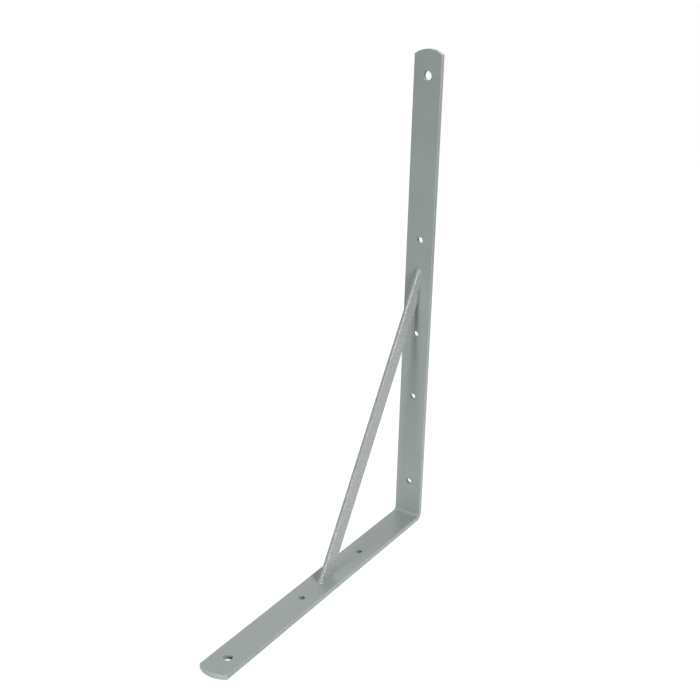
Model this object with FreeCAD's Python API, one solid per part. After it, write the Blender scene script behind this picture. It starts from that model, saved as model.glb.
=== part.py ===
"""Gallows shelf bracket: a flat steel strip bent to a right angle, with a flat bar set on edge as a brace.

X runs across the strip, +Y points at the wall, +Z runs up the wall arm. The origin is in the middle of
the bracket's length from wall to tip, on the plane of the shelf arm's outer face. All sizes are in millimetres.
"""
import FreeCAD, Part
import math
import os

# Strip
strip_width = 30.0
strip_thickness = 5.0
wall_arm_length = 500.0      # from the shelf arm's outer face to the crown of the rounded end
shelf_arm_length = 350.0     # from the wall plane to the crown of the rounded end
bend_inner_radius = 4.0
end_crown = 5.0              # how far a rounded end stands beyond its two corners
strip_edge_round = 0.5       # rolled edges of the strip

# Holes
bolt_hole_diameter = 9.0     # one near the end of each arm
bolt_hole_inset = 25.0       # from the crown of the end
screw_hole_diameter = 6.5    # the rest
wall_screw_start = 43.0      # lowest hole, above the shelf arm's outer face
wall_screw_pitch = 100.0     # between the two holes of a pair
head_hole_gap = 27.5         # from the outer corner of the brace's head up to the nearest hole
shelf_screw_pitch = 104.0
foot_hole_gap = 29.4         # from the outer corner of the brace's foot out to the nearest hole

# Brace
brace_thickness = 4.0
brace_depth = 19.0
brace_edge_round = 1.5       # its four long edges
brace_foot = 177.1           # outer corner of the foot, from the wall arm's inner face
brace_head = 280.5           # outer corner of the head, above the shelf arm's inner face
head_seat = 21.0             # length of the head's cut that touches the wall arm, from the outer corner down
head_gap = 1.3               # how far the rest of the cut stands off the wall arm at its back

# Weld beads
bead_leg = 1.3               # how far a bead stands out from the brace and from the strip
foot_bead_run = 6.0          # how far a bead runs back along each side of the brace
head_bead_run = 19.0

# Planes that the pieces share
wall_plane = shelf_arm_length / 2
wall_inner = wall_plane - strip_thickness
shelf_inner = strip_thickness
tip_plane = wall_plane - shelf_arm_length
foot_corner = FreeCAD.Vector(0, wall_inner - brace_foot, shelf_inner)
head_corner = FreeCAD.Vector(0, wall_inner, shelf_inner + brace_head)


def vec(x, y, z):
    return FreeCAD.Vector(x, y, z)


def bent_strip():
    """The L section with its bend, as wide as the strip."""
    half = strip_width / 2
    outer = bend_inner_radius + strip_thickness
    centre_y, centre_z = wall_plane - outer, outer
    diagonal = math.sqrt(0.5)

    def at(y, z):
        return vec(-half, y, z)

    def bend(radius, start, end):
        middle = at(centre_y + radius * diagonal, centre_z - radius * diagonal)
        return Part.Arc(start, middle, end).toShape()

    tip_low, tip_high = at(tip_plane, 0), at(tip_plane, shelf_inner)
    top_back, top_front = at(wall_plane, wall_arm_length), at(wall_inner, wall_arm_length)
    low_out, high_out = at(centre_y, 0), at(wall_plane, centre_z)
    low_in, high_in = at(centre_y, shelf_inner), at(wall_inner, centre_z)
    edges = [
        Part.makeLine(tip_low, low_out),
        bend(outer, low_out, high_out),
        Part.makeLine(high_out, top_back),
        Part.makeLine(top_back, top_front),
        Part.makeLine(top_front, high_in),
        bend(bend_inner_radius, high_in, low_in),
        Part.makeLine(low_in, tip_high),
        Part.makeLine(tip_high, tip_low),
    ]
    return Part.Face(Part.Wire(edges)).extrude(vec(strip_width, 0, 0))


def end_waste():
    """What is taken off a square end to round it, for an end at the origin that points along +Z."""
    half, reach = strip_width / 2, strip_thickness
    radius = (half ** 2 + end_crown ** 2) / (2 * end_crown)
    block = Part.makeBox(2 * strip_width, 3 * reach, end_crown + reach, vec(-strip_width, -reach, -end_crown))
    round_ = Part.makeCylinder(radius, 3 * reach, vec(0, -reach, -radius), vec(0, 1, 0))
    return block.cut(round_)


def drill(diameter, point, direction):
    """A drill that passes right through the strip."""
    start = point - direction * strip_thickness
    return Part.makeCylinder(diameter / 2, 3 * strip_thickness, start, direction)


def holes():
    """All the holes: through the wall arm along Y and through the shelf arm along Z."""
    above_head = head_corner.z + head_hole_gap
    beyond_foot = foot_corner.y - foot_hole_gap
    lowest = wall_screw_start
    heights = [lowest, lowest + wall_screw_pitch, above_head - wall_screw_pitch, above_head]
    to_wall, up = vec(0, 1, 0), vec(0, 0, 1)
    drills = [drill(screw_hole_diameter, vec(0, wall_inner, z), to_wall) for z in heights]
    for y in (beyond_foot, beyond_foot + shelf_screw_pitch):
        drills.append(drill(screw_hole_diameter, vec(0, y, 0), up))
    top = vec(0, wall_inner, wall_arm_length - bolt_hole_inset)
    tip = vec(0, tip_plane + bolt_hole_inset, 0)
    return drills + [drill(bolt_hole_diameter, top, to_wall), drill(bolt_hole_diameter, tip, up)]


def make_strip():
    """The strip with its bend, rounded ends, rounded edges and holes."""
    top = end_waste()
    top.translate(vec(0, wall_inner, wall_arm_length))
    tip = end_waste()
    tip.rotate(vec(0, 0, 0), vec(1, 0, 0), 90)
    tip.translate(vec(0, tip_plane, 0))
    blank = bent_strip().cut([top, tip]).removeSplitter()
    # the lines across the strip are where the bend runs smoothly into the flats
    outline = [e for e in blank.Edges if abs(e.tangentAt(e.FirstParameter).x) < 0.999]
    return blank.makeFillet(strip_edge_round, outline).cut(holes())


def make_brace():
    """The flat bar on edge, cut at both ends to the arms' inner faces. The back of the head's cut stands a little open."""
    along = (head_corner - foot_corner).normalize()
    rise, run = along.z, along.y
    half = brace_thickness / 2
    foot_back = foot_corner + vec(0, brace_depth / rise, 0)
    head_back = head_corner - vec(0, 0, brace_depth / run)
    side = Part.makePolygon([p - vec(half, 0, 0) for p in
                             (foot_corner, foot_back, head_back, head_corner, foot_corner)])
    bar = Part.Face(side).extrude(vec(brace_thickness, 0, 0))
    long_edges = [e for e in bar.Edges if abs(e.tangentAt(e.FirstParameter).dot(along)) > 0.999]
    seat_end = head_corner - vec(0, 0, head_seat)
    wedge = Part.makePolygon([p - vec(brace_thickness, 0, 0) for p in
                              (seat_end, head_back, head_back - vec(0, head_gap, 0), seat_end)])
    opening = Part.Face(wedge).extrude(vec(2 * brace_thickness, 0, 0))
    return bar.makeFillet(brace_edge_round, long_edges).cut(opening)


def make_bead(corner, inward, run, strip, brace):
    """A bead of weld round the brace's outer corner and back along both its sides, in the angle to the strip."""
    half, across = brace_thickness / 2, vec(1, 0, 0)
    nose = corner + inward * bead_leg
    length = run - bead_leg
    bead = Part.makeCylinder(bead_leg, brace_thickness, nose - across * half, across)
    runs = []
    for start in (nose - across * half, nose + across * half):
        runs.append(Part.makeSphere(bead_leg, start))
        runs.append(Part.makeCylinder(bead_leg, length, start, inward))
        runs.append(Part.makeSphere(bead_leg, start + inward * length))
    return bead.fuse(runs).cut(strip).cut(brace)


def save(name, shape):
    solid = shape.Solids[0] if len(shape.Solids) == 1 else shape
    solid.exportStep(os.path.join("parts", name + ".step"))


os.makedirs("parts", exist_ok=True)
strip_solid = make_strip()
brace_solid = make_brace()
save("bent_strip", strip_solid)
save("diagonal_brace", brace_solid)
save("foot_weld", make_bead(foot_corner, vec(0, 1, 0), foot_bead_run, strip_solid, brace_solid))
save("head_weld", make_bead(head_corner, vec(0, 0, -1), head_bead_run, strip_solid, brace_solid))
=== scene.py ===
"""Looks of the gallows shelf bracket: paint, welds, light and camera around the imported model. Metres."""

import math

import bmesh
import bpy
from mathutils import Matrix, Vector, noise


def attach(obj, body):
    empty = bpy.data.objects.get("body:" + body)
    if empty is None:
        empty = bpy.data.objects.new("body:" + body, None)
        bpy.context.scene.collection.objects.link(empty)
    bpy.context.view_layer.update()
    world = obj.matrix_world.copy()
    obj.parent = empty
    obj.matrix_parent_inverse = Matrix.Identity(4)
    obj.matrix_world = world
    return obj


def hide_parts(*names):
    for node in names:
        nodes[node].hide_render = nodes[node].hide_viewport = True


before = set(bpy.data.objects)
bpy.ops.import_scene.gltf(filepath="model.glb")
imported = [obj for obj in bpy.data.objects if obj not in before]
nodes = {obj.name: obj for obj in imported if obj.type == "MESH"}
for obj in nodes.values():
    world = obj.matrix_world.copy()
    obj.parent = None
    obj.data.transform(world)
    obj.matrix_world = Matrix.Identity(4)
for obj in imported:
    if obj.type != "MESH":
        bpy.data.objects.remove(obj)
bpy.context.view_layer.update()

WHITE = (1.0, 1.0, 1.0, 1.0)


# ---- small helpers

def new_material(name):
    mat = bpy.data.materials.new(name)
    mat.use_nodes = True
    mat.node_tree.nodes.clear()
    return mat, mat.node_tree


def add(tree, kind, inputs=None, **values):
    node = tree.nodes.new(kind)
    for key, value in values.items():
        setattr(node, key, value)
    for key, value in (inputs or {}).items():
        node.inputs[key].default_value = value
    return node


def link(tree, a, out, b, into):
    tree.links.new(a.outputs[out], b.inputs[into])


def new_object(name, data):
    obj = bpy.data.objects.new(name, data)
    bpy.context.scene.collection.objects.link(obj)
    return obj


def direction(azimuth, elevation):
    """The unit vector at an azimuth from -Y towards +X and an elevation above the floor, in degrees."""
    a, e = math.radians(azimuth), math.radians(elevation)
    return Vector((math.sin(a) * math.cos(e), -math.cos(a) * math.cos(e), math.sin(e)))


# ---- paint

CLOUD_SCALE = 22.0           # of the drift in tint and gloss, per metre
GLOSS_DRIFT = 0.15           # share by which the roughness drifts
NOISE_RANGE = {"From Min": 0.3, "From Max": 0.7}      # where most of a noise's values lie


def paint(name, colour, spread, roughness, grain, grain_size, peel, peel_size):
    """Semi-gloss paint: a cloudy tint with a fine grain, a roughness that drifts, and an orange peel.

    spread and grain are shares of the colour, and peel is the height of the orange peel.
    """
    mat, tree = new_material(name)
    place = add(tree, "ShaderNodeTexCoord")

    cloud = add(tree, "ShaderNodeTexNoise", {"Scale": CLOUD_SCALE, "Detail": 4.0, "Roughness": 0.6})
    link(tree, place, "Object", cloud, "Vector")
    low = tuple(c * (1 - spread) for c in colour) + (1.0,)
    high = tuple(c * (1 + spread) for c in colour) + (1.0,)
    tint = add(tree, "ShaderNodeMix", {"A": low, "B": high}, data_type="RGBA")
    link(tree, cloud, "Fac", tint, 0)
    rough = add(tree, "ShaderNodeMapRange", {**NOISE_RANGE, "To Min": roughness * (1 - GLOSS_DRIFT),
                                             "To Max": roughness * (1 + GLOSS_DRIFT)})
    link(tree, cloud, "Fac", rough, "Value")

    speck = add(tree, "ShaderNodeTexNoise", {"Scale": 1 / grain_size, "Detail": 2.0, "Roughness": 0.5})
    link(tree, place, "Object", speck, "Vector")
    speck_range = add(tree, "ShaderNodeMapRange", {**NOISE_RANGE, "To Min": 1 - grain, "To Max": 1 + grain})
    link(tree, speck, "Fac", speck_range, "Value")
    flecked = add(tree, "ShaderNodeVectorMath", operation="SCALE")
    link(tree, tint, "Result", flecked, 0)
    link(tree, speck_range, "Result", flecked, "Scale")

    bumps = add(tree, "ShaderNodeTexNoise", {"Scale": 1 / peel_size, "Detail": 1.0, "Roughness": 0.4})
    link(tree, place, "Object", bumps, "Vector")
    bump = add(tree, "ShaderNodeBump", {"Strength": 1.0, "Distance": peel})
    link(tree, bumps, "Fac", bump, "Height")

    shader = add(tree, "ShaderNodeBsdfPrincipled", {"IOR": 1.5})
    link(tree, flecked, "Vector", shader, "Base Color")
    link(tree, rough, "Result", shader, "Roughness")
    link(tree, bump, "Normal", shader, "Normal")
    out = add(tree, "ShaderNodeOutputMaterial")
    link(tree, shader, "BSDF", out, "Surface")
    return mat


strip_paint = paint("strip_paint", (0.250, 0.284, 0.274), spread=0.03, roughness=0.34,
                    grain=0.01, grain_size=0.0012, peel=0.000004, peel_size=0.003)
brace_paint = paint("brace_paint", (0.254, 0.273, 0.264), spread=0.03, roughness=0.22,
                    grain=0.22, grain_size=0.0021, peel=0.00004, peel_size=0.0018)
weld_paint = paint("weld_paint", (0.245, 0.276, 0.267), spread=0.03, roughness=0.22,
                   grain=0.08, grain_size=0.0014, peel=0.00003, peel_size=0.0016)

for name, mat in (("bent_strip", strip_paint), ("diagonal_brace", brace_paint)):
    node = nodes[name]
    node.data.materials.clear()
    node.data.materials.append(mat)


# ---- weld beads, in place of the plain ones

BRACE_HALF = 0.0020          # half the brace's thickness
BRACE_ROUND = 0.0015         # the rounding of its long edges
BRACE_FOOT = 0.1771          # outer corner of its foot, from the wall arm's inner face
BRACE_HEAD = 0.2805          # outer corner of its head, above the shelf arm's inner face
WALL_INNER = 0.170           # the wall arm's inner face
SHELF_INNER = 0.005          # the shelf arm's inner face
SECTION = 9                  # points on a bead's outside, from the strip to the brace
STEP = 0.0003                # length between two sections
CORNER_STEPS = 8             # steps round one of the brace's rounded edges
SUNK = 0.00012               # how far a bead's rims and root lie inside the steel
FLATNESS, BULGE = 0.93, 0.04         # a section's reach at its rims, and how much more it reaches between them
SWELL = 0.25                 # how much thicker a bead gets near its end
LEAST = 0.02                 # the square of the share that is left at the very end
RIPPLE_PITCH = 0.0011
RIPPLE_SHIFT = 0.0004        # of the ripples along the brace's sides, one way on one side and back on the other
RIPPLE, LUMPS, BROAD_LUMPS = 0.10, 0.16, 0.12        # heights, as shares of a bead's size
LUMP_SCALE, BROAD_SCALE = 900, 0.35  # lumps per metre, and the broad ones' share of that
NOSE_RIPPLE = 0.4            # share of the unevenness that is left across the brace's narrow face


def steps(start, end, step):
    count = max(1, round(abs(end - start) / step))
    return [start + (end - start) * k / count for k in range(count + 1)]


def bead_path(run, lean):
    """Stations round the brace's outer corner.

    Each is the place in the strip's face (x, inward), the outward direction there in the same two axes,
    and how far the brace's surface has turned from its side to its outer narrow face, from 0 to 1.
    """
    flat = BRACE_HALF - BRACE_ROUND
    nose = BRACE_ROUND / math.sin(lean)          # the rounding is stretched where the cut runs at a slant
    side = [(BRACE_HALF, d, 1.0, 0.0, 0.0) for d in steps(run, nose, STEP)]
    arc = []
    for k in range(1, CORNER_STEPS):
        a = math.pi / 2 * k / CORNER_STEPS
        out = Vector((math.cos(a) / BRACE_ROUND, -math.sin(a) / nose)).normalized()
        arc.append((flat + BRACE_ROUND * math.cos(a), nose - nose * math.sin(a), out.x, out.y, k / CORNER_STEPS))
    across = [(x, 0.0, 0.0, -1.0, 1.0) for x in steps(flat, -flat, STEP)]
    back = [(-x, d, -ox, od, t) for x, d, ox, od, t in reversed(side + arc)]
    return side + arc + across + back


def end_shape(d, run, blob):
    """The bead's share of its size on the brace's side. Near its end it swells a little, and then it closes."""
    end = max(0.0, (d - (run - blob)) / blob)
    swell = 1 + SWELL * math.sin(math.pi * min(1.0, end * 1.3) / 1.3)
    return swell * math.sqrt(max(LEAST, 1 - end ** 4))


def ripple(foot, d, side, seed):
    """The bead's unevenness as a share of its size: ripples along it and two sizes of lumps."""
    wave = math.sin(2 * math.pi * (d + RIPPLE_SHIFT * side) / RIPPLE_PITCH + seed)
    spot = foot * LUMP_SCALE + Vector((seed, 0, 0))
    return RIPPLE * wave + LUMPS * noise.noise(spot) + BROAD_LUMPS * noise.noise(spot * BROAD_SCALE)


def bead_section(foot, outward, wall, face, size):
    """One section's points: an arc from the strip to the brace, and the root in the angle between them."""
    ring = []
    for k in range(SECTION):
        a = math.pi / 2 * k / (SECTION - 1)
        reach = FLATNESS + BULGE * math.sin(2 * a)
        ring.append(foot + (outward * math.cos(a) + wall * math.sin(a)) * size * reach)
    ring[0] -= face * SUNK
    ring[-1] -= outward * SUNK
    ring.append(foot - outward * SUNK - face * SUNK)
    return ring


def weld_bead(name, corner, inward, face, lean, run, leg, nose_leg, blob, seed):
    """One bead of weld: a rounded fillet between the strip and the brace, with ripples, that swells at its ends.

    inward points from the corner under the brace, face out of the strip, and lean is the angle between the
    strip and the brace. The bead's size is leg along the sides and nose_leg at the brace's outer narrow face.
    """
    corner, inward, face = Vector(corner), Vector(inward), Vector(face)
    across = Vector((1, 0, 0))
    up_brace = inward * math.cos(lean) + face * math.sin(lean)
    mesh = bmesh.new()
    rings = []
    for x, d, ox, od, turn in bead_path(run, lean):
        foot = corner + across * x + inward * d
        outward = across * ox + inward * od
        wall = (face * (1 - turn) + up_brace * turn).normalized()
        if turn == 0.0:
            size = leg * end_shape(d, run, blob)
        else:
            size = leg + (nose_leg - leg) * turn
        uneven = ripple(foot, d, ox, seed)
        size *= 1 + (uneven if turn < 1 else NOSE_RIPPLE * uneven)
        rings.append([mesh.verts.new(v) for v in bead_section(foot, outward, wall, face, size)])
    for a, b in zip(rings, rings[1:]):
        for k in range(len(a)):
            n = (k + 1) % len(a)
            mesh.faces.new((a[k], a[n], b[n], b[k]))
    mesh.faces.new(rings[0][::-1])
    mesh.faces.new(rings[-1])
    bmesh.ops.recalc_face_normals(mesh, faces=mesh.faces)
    data = bpy.data.meshes.new(name)
    mesh.to_mesh(data)
    mesh.free()
    data.polygons.foreach_set("use_smooth", [True] * len(data.polygons))
    data.materials.append(weld_paint)
    return new_object(name, data)


BRACE_RISE = math.atan2(BRACE_HEAD, BRACE_FOOT)          # the brace's slope above the shelf arm
foot_bead = weld_bead("foot_bead", (0, WALL_INNER - BRACE_FOOT, SHELF_INNER), inward=(0, 1, 0), face=(0, 0, 1),
                      lean=BRACE_RISE, run=0.0062, leg=0.0013, nose_leg=0.0006, blob=0.002, seed=3.0)
head_bead = weld_bead("head_bead", (0, WALL_INNER, SHELF_INNER + BRACE_HEAD), inward=(0, 0, -1), face=(0, -1, 0),
                      lean=math.pi / 2 - BRACE_RISE, run=0.0200, leg=0.0011, nose_leg=0.0005, blob=0.004, seed=8.0)
for bead, node in ((foot_bead, "foot_weld"), (head_bead, "head_weld")):
    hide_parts(node)
    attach(bead, "root")


# ---- floor, world and lamps

FLOOR_HALF = 6.0
FLOOR_GAP = 0.0002           # between the floor and the bracket
FLOOR_TONE = 0.9             # the floor's own pale colour
GLOW_SHARE = 0.9             # the rest of what the camera and reflections see is the lit floor with its shadows
CAMERA_GLOW = 1.105          # just enough to bring the far floor to white
LIT_CENTRE = (0.15, 0.3, 0.0)        # the floor's painted pool of light: bright round this place, fading away from it
LIT_RADIUS, DIM_RADIUS = 0.35, 0.95
DIM_FLOOR = 0.02             # what is left of its brightness beyond the second radius
WORLD_LIGHT = 0.12           # what the world gives to matt surfaces
ROOM_FRONT, ROOM_REST = 0.05, 1.1    # the world in reflections
FRONT_Y, REST_Y = -0.7, -0.4         # a direction's Y up to which it counts as front, and from which as the rest


def floor_material():
    """White to the camera, with the object's shadow kept faintly.

    In reflections, and in the light that it throws back, it is a painted pool of light that fades with the
    distance from one place.
    """
    mat, tree = new_material("floor_white")
    ray = add(tree, "ShaderNodeLightPath")
    seen = add(tree, "ShaderNodeMath", operation="MAXIMUM")
    link(tree, ray, "Is Camera Ray", seen, 0)
    link(tree, ray, "Is Glossy Ray", seen, 1)
    share = add(tree, "ShaderNodeMath", {1: GLOW_SHARE}, operation="MULTIPLY")
    link(tree, seen, "Value", share, 0)

    place = add(tree, "ShaderNodeTexCoord")
    far = add(tree, "ShaderNodeVectorMath", {1: LIT_CENTRE}, operation="DISTANCE")
    link(tree, place, "Object", far, 0)
    # painted pool of light: the floor's glow in reflections and its colour in bounce fade with the distance from
    # LIT_CENTRE
    pool = add(tree, "ShaderNodeMapRange", {"From Min": LIT_RADIUS, "From Max": DIM_RADIUS,
                                            "To Min": 1.0, "To Max": DIM_FLOOR})
    link(tree, far, "Value", pool, "Value")

    level = add(tree, "ShaderNodeMix", {"B": CAMERA_GLOW}, data_type="FLOAT")
    link(tree, ray, "Is Camera Ray", level, 0)
    link(tree, pool, "Result", level, "A")
    glow = add(tree, "ShaderNodeEmission", {"Color": WHITE})
    link(tree, level, "Result", glow, "Strength")

    bounce = add(tree, "ShaderNodeMath", {1: FLOOR_TONE}, operation="MULTIPLY")
    link(tree, pool, "Result", bounce, 0)
    tone = add(tree, "ShaderNodeMix", {"B": FLOOR_TONE}, data_type="FLOAT")
    link(tree, ray, "Is Camera Ray", tone, 0)
    link(tree, bounce, "Value", tone, "A")
    matt = add(tree, "ShaderNodeBsdfDiffuse")
    link(tree, tone, "Result", matt, "Color")

    mix = add(tree, "ShaderNodeMixShader")
    link(tree, share, "Value", mix, 0)
    link(tree, matt, "BSDF", mix, 1)
    link(tree, glow, "Emission", mix, 2)
    out = add(tree, "ShaderNodeOutputMaterial")
    link(tree, mix, "Shader", out, "Surface")
    return mat


def build_floor():
    mesh = bpy.data.meshes.new("floor")
    corners = [(-1, -1), (1, -1), (1, 1), (-1, 1)]
    mesh.from_pydata([(x * FLOOR_HALF, y * FLOOR_HALF, -FLOOR_GAP) for x, y in corners], [], [(0, 1, 2, 3)])
    floor = new_object("floor", mesh)
    mesh.materials.append(floor_material())


def build_world():
    """White to the camera, and a little light for matt surfaces.

    In reflections it is white behind the bracket and at its sides, and dim in front.
    """
    world = bpy.data.worlds.new("studio")
    bpy.context.scene.world = world
    world.use_nodes = True
    tree = world.node_tree
    tree.nodes.clear()
    ray = add(tree, "ShaderNodeLightPath")
    mirrored = add(tree, "ShaderNodeMath", operation="MAXIMUM")
    link(tree, ray, "Is Glossy Ray", mirrored, 0)
    link(tree, ray, "Is Transmission Ray", mirrored, 1)

    place = add(tree, "ShaderNodeTexCoord")
    split = add(tree, "ShaderNodeSeparateXYZ")
    link(tree, place, "Generated", split, "Vector")
    room = add(tree, "ShaderNodeMapRange", {"From Min": FRONT_Y, "From Max": REST_Y,
                                            "To Min": ROOM_FRONT, "To Max": ROOM_REST},
               interpolation_type="SMOOTHSTEP")
    link(tree, split, "Y", room, "Value")

    other = add(tree, "ShaderNodeMix", {"A": WORLD_LIGHT}, data_type="FLOAT")
    link(tree, mirrored, "Value", other, 0)
    link(tree, room, "Result", other, "B")
    level = add(tree, "ShaderNodeMix", {"B": 1.0}, data_type="FLOAT")
    link(tree, ray, "Is Camera Ray", level, 0)
    link(tree, other, "Result", level, "A")
    back = add(tree, "ShaderNodeBackground", {"Color": WHITE})
    link(tree, level, "Result", back, "Strength")
    out = add(tree, "ShaderNodeOutputWorld")
    link(tree, back, "Background", out, "Surface")


AIM = Vector((0, 0.05, 0.2))         # the place near the bracket's middle that every lamp points at

# azimuth and elevation, distance, width, irradiance at AIM over pi, shown in reflections
LAMPS = {
    "right_softbox": (100.0, 45.0, 2.0, 0.45, 0.45, True),
    "top_softbox": (0.0, 88.0, 2.0, 0.45, 0.18, True),
    "front_softbox": (0.0, 4.0, 2.0, 0.36, 0.44, True),
    "low_front_softbox": (0.0, -7.0, 0.9, 0.2, 0.26, True),
    "key_softbox": (72.0, 28.0, 2.0, 0.25, 0.43, True),
    "low_softbox": (65.0, 5.0, 2.0, 0.24, 0.23, True),
    "rear_softbox": (180.0, 38.0, 2.0, 0.45, 0.07, True),
    "rear_left_softbox": (-140.0, 30.0, 2.0, 0.45, 0.02, True),
    "low_rear_softbox": (180.0, 7.0, 2.0, 0.30, 0.40, False),
    "low_left_softbox": (-125.0, 9.0, 2.0, 0.30, 0.07, False),
}


def add_lamp(name, azimuth, elevation, distance, size, irradiance, mirrored):
    toward = direction(azimuth, elevation)
    lamp = bpy.data.lights.new(name, "AREA")
    lamp.shape = "SQUARE"
    lamp.size = size
    lamp.energy = irradiance * math.pi ** 2 * distance ** 2
    obj = new_object(name, lamp)
    obj.location = AIM + toward * distance
    obj.rotation_euler = (-toward).to_track_quat("-Z", "Y").to_euler()
    obj.visible_glossy = mirrored


build_floor()
build_world()
for name, values in LAMPS.items():
    add_lamp(name, *values)


# ---- camera, at the photograph's viewing angle

CAMERA_AZIMUTH, CAMERA_ELEVATION, CAMERA_ROLL = 31.401, 19.537, 1.455
CAMERA_PLACE = Vector((0.495863, -0.772053, 0.570635))
FOCAL_SHARE = 1076.17 / 700          # focal length over the picture's width
SENSOR = 36.0


def build_camera():
    back = direction(CAMERA_AZIMUTH, CAMERA_ELEVATION)
    roll = math.radians(CAMERA_ROLL)
    level = (-back).cross(Vector((0, 0, 1))).normalized()
    upright = level.cross(-back)
    right = math.cos(roll) * level + math.sin(roll) * upright
    up = -math.sin(roll) * level + math.cos(roll) * upright
    camera = bpy.data.cameras.new("camera")
    camera.sensor_fit = "HORIZONTAL"
    camera.sensor_width = SENSOR
    camera.lens = FOCAL_SHARE * SENSOR
    obj = new_object("camera", camera)
    turn = Matrix((right, up, back)).transposed().to_4x4()
    obj.matrix_world = Matrix.Translation(CAMERA_PLACE) @ turn
    bpy.context.scene.camera = obj


build_camera()
bpy.context.scene.view_settings.view_transform = "Standard"
